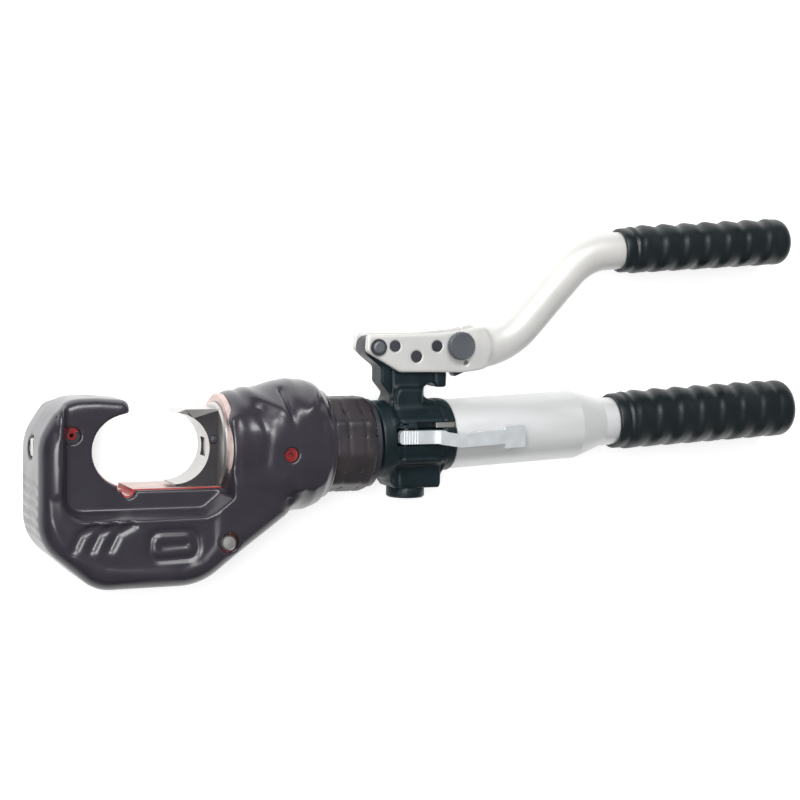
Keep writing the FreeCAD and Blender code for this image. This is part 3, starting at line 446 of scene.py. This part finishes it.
def cover_field(x, y, z):
    """The hollow cover: plate and sleeve, less the jaw, the steel inside and the holes for fittings."""
    depth = np.abs(z)
    edge = outline_distance(x, y, COVER_OUTLINE)
    plate = smooth_max(edge, depth - moulded_height(x, y, -edge), EDGE_ROUNDING)
    plate = smooth_max(plate, -box_field(x, y, z, (51.5, -8, -40), (55.3, 72, 40)), 0.8)
    radial = np.sqrt(y * y + z * z)
    sleeve = smooth_max(radial - sleeve_radius(x, y), depth - FLATTENED_AT, 3)
    sleeve = smooth_max(sleeve, slab(x, SLEEVE_START, SLEEVE_END), 2)
    outer = smooth_min(plate, sleeve, 9)
    ridges = 0.45 * np.sin(2 * math.pi * y / RIB_PITCH) * (1 - ramp(-46, -43, x)) * ramp(-52, -48, y)
    outer = outer + ridges * (1 - ramp(-16, -12, y)) * (1 - ramp(15, 20, depth))
    seat = np.hypot(x, y) - SEAT_RADIUS
    horn_tip = np.where(y > 17, 1.8, -5.9)
    throat = np.maximum(np.maximum(horn_tip - x, x - MOUTH_FACE), SPINE_TOP - y)
    jaw = np.minimum(np.minimum(seat, throat), np.hypot(x, y + 20.95) - 3.7)
    jaw = np.minimum(jaw, np.maximum(radial - CYLINDER_CLEARANCE, slab(x, 21.9, 53.7)))
    outer = smooth_max(outer, -jaw, 2.0)
    steel_depth = np.where(outline_distance(x, y, STEEL_PANEL) < 0, 15.6, 23.1)
    cavity = np.maximum(outline_distance(x, y, STEEL_OUTLINE) - 0.1, depth - steel_depth)
    barrel = np.maximum(radial - np.interp(x, CAVITY_X, CAVITY_R), BARREL_START - x)
    hollow = np.minimum(cavity, barrel)
    die_button = np.maximum(np.hypot(y - 1.2, z) - 6.2, x + 30)
    cross_pin = np.hypot(x + 29.8, y - 8.6) - 4.2
    rivet = np.hypot(x - 52.8, y + 49.4) - 5.4
    set_screw = np.maximum(np.hypot(x - 86, y + 2.8) - 3.8, 20 - z)
    for hole in (die_button, cross_pin, rivet, set_screw):
        outer = smooth_max(outer, -hole, 1.4)
    return np.maximum(outer, -np.maximum(hollow, outer + LEAST_WALL))


def make_cover():
    cover = field_mesh("cover_skin", cover_field, (-49, -74, -32), (115, 39, 32), 1.12)
    finish_piece(cover, "cover_rubber", "head", ["head_cover"])


# ------------------------------------------------------------------ collar
COLLAR_FLATS = 9
COLLAR_RADIUS, COLLAR_BORE, COLLAR_FLAT = 27.15, 24.7, 25.9
COLLAR_START, COLLAR_END = 113.3, 140.3


def collar_field(x, y, z):
    """A ring with flats round it, two fine ridges and a cut-back end."""
    radial = np.sqrt(y * y + z * z)
    angle = np.arctan2(z, y)
    sector = 2 * math.pi / COLLAR_FLATS
    offset = np.mod(angle + 0.35, sector) - sector / 2
    flat = radial * np.cos(offset) - COLLAR_FLAT
    skin = smooth_max(radial - COLLAR_RADIUS, flat, 0.5)
    skin = smooth_max(skin, x + radial * 1.1 - 165.6, 1.2)
    skin = skin + 0.35 * np.exp(-((x - 121) / 1.0) ** 2) + 0.25 * np.exp(-((x - 131) / 0.9) ** 2)
    skin = smooth_max(skin, slab(x, COLLAR_START, COLLAR_END), 1.2)
    return np.maximum(skin, COLLAR_BORE - radial)


def make_collar():
    collar = field_mesh("collar_skin", collar_field, (112, -29, -29), (142, 29, 29), 0.9)
    finish_piece(collar, "collar_rubber", "head", ["neck_collar"])


# ------------------------------------------------------------------ grips
GRIP_PITCH = 14.3
GRIP_START = 179.5
UPPER_GRIP_X = 297.0


def grip_rings(length, outer, inner, closed_from):
    """Rings from the blind end of the socket, over the lip, along the outside to the closed end."""
    rings = [(closed_from, inner), (closed_from * 0.5, inner), (0.6, inner), (0.0, inner + 0.5)]
    rings += [(0.0, outer - 1.9), (0.35, outer - 1.2), (1.2, outer - 0.85), (6.2, outer - 0.8),
              (6.9, outer - 1.1), (7.3, outer - 0.9), (8.0, outer - 0.3)]
    count = int((length - 16) / 0.9)
    rings += [(8.8 + k * (length - 16.4) / count, None) for k in range(count + 1)]
    for k in range(1, 9):
        turn = k / 8 * math.pi / 2
        rings.append((length - 6.5 + 6.5 * math.sin(turn), (outer - 6) + 6 * math.cos(turn)))
    return rings


def make_grip(name, start, slope, length, outer, inner, closed_from, body, node_name):
    """A moulded grip with a spiral of finger swells, open at the handle's side."""
    def profile(along, angles):
        fade = np.clip(min(along - 8, length - 8 - along) / 5, 0, 1)
        turn = 2 * math.pi * along / GRIP_PITCH + angles
        wave = np.sin(turn + 0.6 * np.sin(turn)) - 0.45
        cross = np.sin(2 * math.pi * along / GRIP_PITCH - 2 * angles)
        return outer + fade * (0.55 * wave + 0.22 * cross)

    direction = (math.cos(math.radians(slope)), math.sin(math.radians(slope)), 0)
    grip = wrapped_grid(name, start, direction, profile, grip_rings(length, outer, inner, closed_from))
    finish_piece(grip, "grip_rubber", body, [node_name])


def make_grips():
    start = (LEAN_AT + GRIP_START * math.cos(LEAN), GRIP_START * math.sin(LEAN), 0)
    make_grip("lower_grip", start, LEAN_DEGREES, 122.0, 17.0, 14.03, 117.4, "pump_body", "main_grip")
    slope = math.atan2(LEVER_END[1] - LEVER_BEND[1], LEVER_END[0] - LEVER_BEND[0])
    start = (UPPER_GRIP_X, LEVER_BEND[1] + (UPPER_GRIP_X - LEVER_BEND[0]) * math.tan(slope), 0)
    make_grip("upper_grip", start, math.degrees(slope), 114.5, 13.8, 11.03, 111.2,
              "moving_handle", "moving_grip")


# ------------------------------------------------------------------ moving handle
def bent_path(corners, bend, steps=10):
    """A run of points along straight pieces joined by arcs."""
    points = [corners[0]]
    for before, corner, after in zip(corners, corners[1:], corners[2:]):
        before, here, after = Vector(before), Vector(corner), Vector(after)
        back, onward = (before - here).normalized(), (after - here).normalized()
        half = back.angle(onward) / 2
        reach = bend / math.tan(half)
        centre = here + (back + onward).normalized() * bend / math.sin(half)
        start, end = here + back * reach - centre, here + onward * reach - centre
        for step in range(steps + 1):
            points.append(tuple(centre + start.slerp(end, step / steps, start).normalized() * bend))
    points.append(corners[-1])
    return points


FORK = rounded_outline([(135.2, 51.5, 3.2), (155.7, 39.9, 6), (196, 39.7, 8), (209, 42, 3),
                        (209, 65.8, 3), (192, 63.2, 0), (176, 61.6, 0), (136.0, 60.9, 1.8)], steps=4)
LEVER_LINE = bent_path([(203, 53.2), (224.8, 54.4), LEVER_BEND, LEVER_END], 38)
FORK_HALF_WIDTH, SLOT_HALF_WIDTH = 11.4, 8.15
LEVER_BORE = 8.4


def handle_field(x, y, z):
    """Fork and bent tube in one casting, slotted for the tower, with holes for its pins."""
    depth = np.abs(z)
    fork = smooth_max(outline_distance(x, y, FORK), depth - FORK_HALF_WIDTH, 1.6)
    off_line, along = path_distance(x, y, LEVER_LINE)
    radial = np.hypot(off_line, z)
    wall = radial - np.interp(along, [0, 19, 26], [12.6, 11.2, 10.98])
    handle = smooth_min(fork, np.maximum(wall, x - LEVER_END[0]), 5)
    handle = smooth_max(handle, -np.maximum(radial - LEVER_BORE, 203.5 - x), 0.6)
    slot = np.maximum(slab(x, 129, 202.5), depth - SLOT_HALF_WIDTH)
    handle = smooth_max(handle, -slot, 0.9)
    holes = ((FULCRUM, 3.5), (DRIVE_PIN, 3.1), (FORK_SPACERS[0], 3.0), (FORK_SPACERS[1], 3.0),
             (LOCK_SHAFT, 3.05))
    for (hole_x, hole_y), radius in holes:
        handle = smooth_max(handle, -(np.hypot(x - hole_x, y - hole_y) - radius), 0.7)
    stop_hole = np.maximum(np.hypot(x - STOP_HOLE[0], y - STOP_HOLE[1]) - 1.4, 7.5 - depth)
    return smooth_max(handle, -stop_hole, 0.4)


def make_handle():
    handle = field_mesh("lever_casting", handle_field, (132, 34, -14), (412, 132, 14), 0.85)
    finish_piece(handle, "light_alloy", "moving_handle", ["moving_handle"])


# ------------------------------------------------------------------ pump body
TOWER = rounded_outline([(152, 0, 0), (152, 20.5, 0), (151.4, 28, 3), (146, 34.3, 3), (146, 42.5, 3),
                         (136, 50.2, 5.8), (136, 59.9, 5.8), (148.2, 59.9, 5.8), (149.2, 45, 0),
                         (156, 40, 3), (185.7, 40.4, 1.6), (185.7, 31.2, 1.6), (179.6, 31.2, 0),
                         (176.4, 34.4, 2), (171.6, 31, 2.2), (171.6, 26.6, 2.2), (176, 23.2, 1.6),
                         (183.5, 23.2, 0), (183.5, 0, 0)], steps=4)
SHOULDER = rounded_outline([(152, 0, 0), (152, 24, 0), (156, 31, 2), (170, 31, 1.5), (170, 22, 1.5),
                            (183, 20, 1.5), (183, 0, 0)], steps=3)
BOSS = rounded_outline([(151.4, 0, 0), (151.4, -22, 1.5), (154, -25.2, 1.5), (180.6, -25.2, 1.5),
                        (182.6, -23, 1.5), (182.6, 0, 0)], steps=3)
RING_RADIUS, BLOCK_RADIUS = 22, 20.4
TOWER_HALF_WIDTH = 7.75
SPIGOT_RADIUS = 19.95


def body_field(x, y, z):
    """The pump casting: leaning block and ring, tower, shoulder, valve boss and spigot, less its bores."""
    depth = np.abs(z)
    along = (x - LEAN_AT) * math.cos(LEAN) + y * math.sin(LEAN)
    across = y * math.cos(LEAN) - (x - LEAN_AT) * math.sin(LEAN)
    radial = np.hypot(across, z)
    ring = smooth_max(radial - RING_RADIUS, slab(along, 27.6, 36.6), 1.6)
    core = smooth_max(radial - BLOCK_RADIUS, slab(along, 30, 72.6), 1.2)
    tower = smooth_max(outline_distance(x, y, TOWER), depth - TOWER_HALF_WIDTH, 1.4)
    shoulder = smooth_max(outline_distance(x, y, SHOULDER), depth - 11, 2.4)
    boss = smooth_max(outline_distance(x, y, BOSS), depth - 12, 2.0)
    ear = smooth_max(box_field(x, y, z, (153, -2, 0), (177, 11, 20)), z - 19.9, 1.0)
    body = smooth_min(core, ring, 1.2)
    for part, blend in ((shoulder, 3.0), (tower, 3.5), (boss, 3.5), (ear, 0.8)):
        body = smooth_min(body, part, blend)
    for level in (-9.5, 13.5):
        rib = np.maximum(slab(x, 150, 182), slab(y, level - 1.3, level + 1.3))
        rib = smooth_max(rib, radial - 21.6, 0.8)
        body = smooth_min(body, rib, 2.0)
    for place in (154.5, 180.5):
        body = body + 0.7 * np.exp(-((along + LEAN_AT - place) / 0.9) ** 2) * (radial > 19)
    trunk = np.hypot(y, z)
    spigot = np.maximum(np.maximum(trunk - SPIGOT_RADIUS, slab(x, 106.1, 146)),
                        -(np.maximum(trunk - 10, x - 126)))
    grooves = np.minimum(np.maximum(17.2 - trunk, slab(x, 110, 114.5)),
                         np.maximum(18.2 - trunk, slab(x, 124, 126)))
    body = np.minimum(body, np.maximum(spigot, -grooves))
    skirt = np.maximum(np.maximum(radial - 17.3, slab(along, 70, 86)),
                       -np.maximum(radial - 13, 72.6 - along))
    body = np.minimum(body, skirt)
    plunger_line = np.hypot(x - PLUNGER_X, z)
    cuts = [box_field(x, y, z, (150.4, -0.2, 14.6), (179.2, 9.2, 28)),
            box_field(x, y, z, (163.5, 9.4, 15.4), (188.5, 12.6, 23.4)),
            np.hypot(x - FULCRUM[0], y - FULCRUM[1]) - 3.5,
            np.maximum(plunger_line - 5.55, 7.8 - y),
            np.maximum(plunger_line - 7.3, slab(y, 26, 29)),
            np.maximum(plunger_line - 5.0, slab(y, -40, -9)),
            np.maximum(np.maximum(np.hypot(x - 157, z - 18.2) - 1.5, slab(y, -3, 11.6)), z - 18.6),
            np.maximum(np.hypot(x - 173, y + 4) - 5.0, slab(z, -30, -8)),
            np.maximum(np.hypot(x - 166, y - 4.5) - 4.0, slab(z, 4.6, 18.6))]
    for hole in cuts:
        body = smooth_max(body, -hole, 0.5)
    return body


def make_body():
    body = field_mesh("pump_casting", body_field, (104, -31, -23), (204, 62, 23), 0.72)
    finish_piece(body, "black_body", "pump_body", ["pump_body"])


# ------------------------------------------------------------------ what every made piece says
def finish_piece(piece, material, body, stands_for):
    paint(piece, material)
    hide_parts(*stands_for)
    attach(piece, body)


# ------------------------------------------------------------------ two-tone steel
def repaint(name, second, chosen):
    """The faces of a CAD node whose centre (in mm) and normal pass a test take a second material."""
    mesh = nodes[name].data
    mesh.materials.append(MATERIALS[second])
    index = len(mesh.materials) - 1
    for face in mesh.polygons:
        if chosen(face.center / MM, face.normal):
            face.material_index = index


def bare_on_head(centre, normal):
    """The ground seat and the cylinder bore are left bright."""
    x, y, z = centre
    in_jaw = math.hypot(x, y) < 19.4 and x < 0
    bore = x > 30 and math.hypot(y, z) < 24.4 and x < 110
    return in_jaw or bore


def machined_on_head(centre, normal):
    """The mouth ring and the flat under the jaw are dull machined steel."""
    x, y, z = centre
    mouth = 52 < x < 56 and math.hypot(y, z) > 20
    throat = normal.y > 0.9 and y < -19 and abs(z) < 15.4 and x < 53
    return mouth or throat


def dark_on_neck(centre, normal):
    return centre.x > 112 or math.hypot(centre.y, centre.z) < 20.5


def bright_on_ram(centre, normal):
    x, y, z = centre
    in_seat = math.hypot(x - 27, y) < 19.4 and abs(normal.z) < 0.5
    return in_seat or x > 52 or normal.x < -0.5 or y > 18.4


paint(nodes["head_frame"], "red_paint")
repaint("head_frame", "dark_steel", dark_on_neck)
repaint("head_frame", "bare_steel", bare_on_head)
repaint("head_frame", "rim_steel", machined_on_head)
paint(nodes["ram"], "ram_dark")
repaint("ram", "bright_steel", bright_on_ram)


# ------------------------------------------------------------------ edges of the small parts
BEVEL_ANGLE = math.radians(35)


def soften(name, width):
    """Small machined parts keep their shape and get a broken edge."""
    piece = nodes[name]
    weld = piece.modifiers.new("weld", "WELD")
    weld.merge_threshold = 0.00001
    edge = piece.modifiers.new("edge", "BEVEL")
    edge.width = width * MM
    edge.segments = 2
    edge.limit_method = "ANGLE"
    edge.angle_limit = BEVEL_ANGLE
    edge.harden_normals = True


for name, width in (("lock_knob", 0.25), ("fulcrum_pin", 0.3),
                    ("suction_plug", 0.3), ("lever_catch", 0.3), ("fork_pins", 0.2),
                    ("plunger_pin", 0.2), ("die_button", 0.3)):
    soften(name, width)

make_cover()
make_collar()
make_grips()
make_handle()
make_body()


# ------------------------------------------------------------------ camera and light
def add_camera():
    """The view of the photograph: from above the tool lying on its side, head towards the lens."""
    turn, lift, roll = math.radians(22.66), math.radians(4.33), math.radians(-1.09)
    distance, target = 1.06789, Vector((0.1606, 0.02362, 0.0))
    back = Vector((-math.sin(turn) * math.cos(lift), math.sin(lift), math.cos(turn) * math.cos(lift)))
    right = Vector((0, 1, 0)).cross(back).normalized()
    up = back.cross(right)
    rolled_right = right * math.cos(roll) - up * math.sin(roll)
    rolled_up = up * math.cos(roll) + right * math.sin(roll)
    data = bpy.data.cameras.new("camera")
    data.lens, data.sensor_width = 85.31, 36.0
    camera = bpy.data.objects.new("camera", data)
    rotation = Matrix((rolled_right, rolled_up, back)).transposed()
    camera.matrix_world = Matrix.Translation(target + back * distance) @ rotation.to_4x4()
    bpy.context.scene.collection.objects.link(camera)
    bpy.context.scene.camera = camera


def add_light(name, place, aim, size, power):
    data = bpy.data.lights.new(name, "AREA")
    data.shape, data.size, data.size_y = "RECTANGLE", size[0], size[1]
    data.energy = power
    light = bpy.data.objects.new(name, data)
    light.location = place
    light.rotation_euler = (Vector(aim) - Vector(place)).to_track_quat("-Z", "Y").to_euler()
    bpy.context.scene.collection.objects.link(light)


def add_flag(place, turn, size):
    """A dark card beside the set, seen only in reflections: bright round parts get a drawn edge."""
    bpy.ops.mesh.primitive_plane_add(size=1, location=place, rotation=turn)
    card = bpy.context.object
    card.name = "flag"
    card.scale = (size[0], size[1], 1)
    card.visible_camera = False
    card.data.materials.append(shader("flag_cloth", (0.02, 0.02, 0.02), 0.9, mottle=0.1))


def add_studio():
    floor_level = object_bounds()[0][2]
    bpy.ops.mesh.primitive_plane_add(size=12, location=(0.18, 0, floor_level))
    floor = bpy.context.object
    floor.name = "studio_floor"
    paper = shader("floor_paper", (0.80, 0.80, 0.80), 0.9, mottle=0.004)
    paper.node_tree.nodes["Principled BSDF"].inputs["Emission Color"].default_value = (1, 1, 1, 1)
    paper.node_tree.nodes["Principled BSDF"].inputs["Emission Strength"].default_value = 0.62
    floor.data.materials.append(paper)
    world = bpy.data.worlds.new("studio")
    world.use_nodes = True
    world.node_tree.nodes["Background"].inputs["Color"].default_value = (1.0, 1.0, 1.0, 1)
    world.node_tree.nodes["Background"].inputs["Strength"].default_value = 0.30
    bpy.context.scene.world = world
    middle = (0.17, 0.02, 0)
    add_light("key", (-0.05, 0.68, 0.85), middle, (0.9, 0.30), 9)
    add_light("top", (-0.48, 0.10, 1.15), middle, (0.5, 0.40), 7)
    add_light("strip", (-0.60, 0.55, 0.55), (0.02, 0, 0), (0.3, 0.5), 0.9)
    for side in (0.62, -0.55):
        add_flag((0.18, side, 0.13), (math.pi / 2, 0, 0), (1.6, 0.22))
    add_flag((-0.40, 0, 0.13), (0, math.pi / 2, 0), (0.26, 0.9))
    bpy.context.scene.view_settings.view_transform = "Standard"


add_camera()
add_studio()
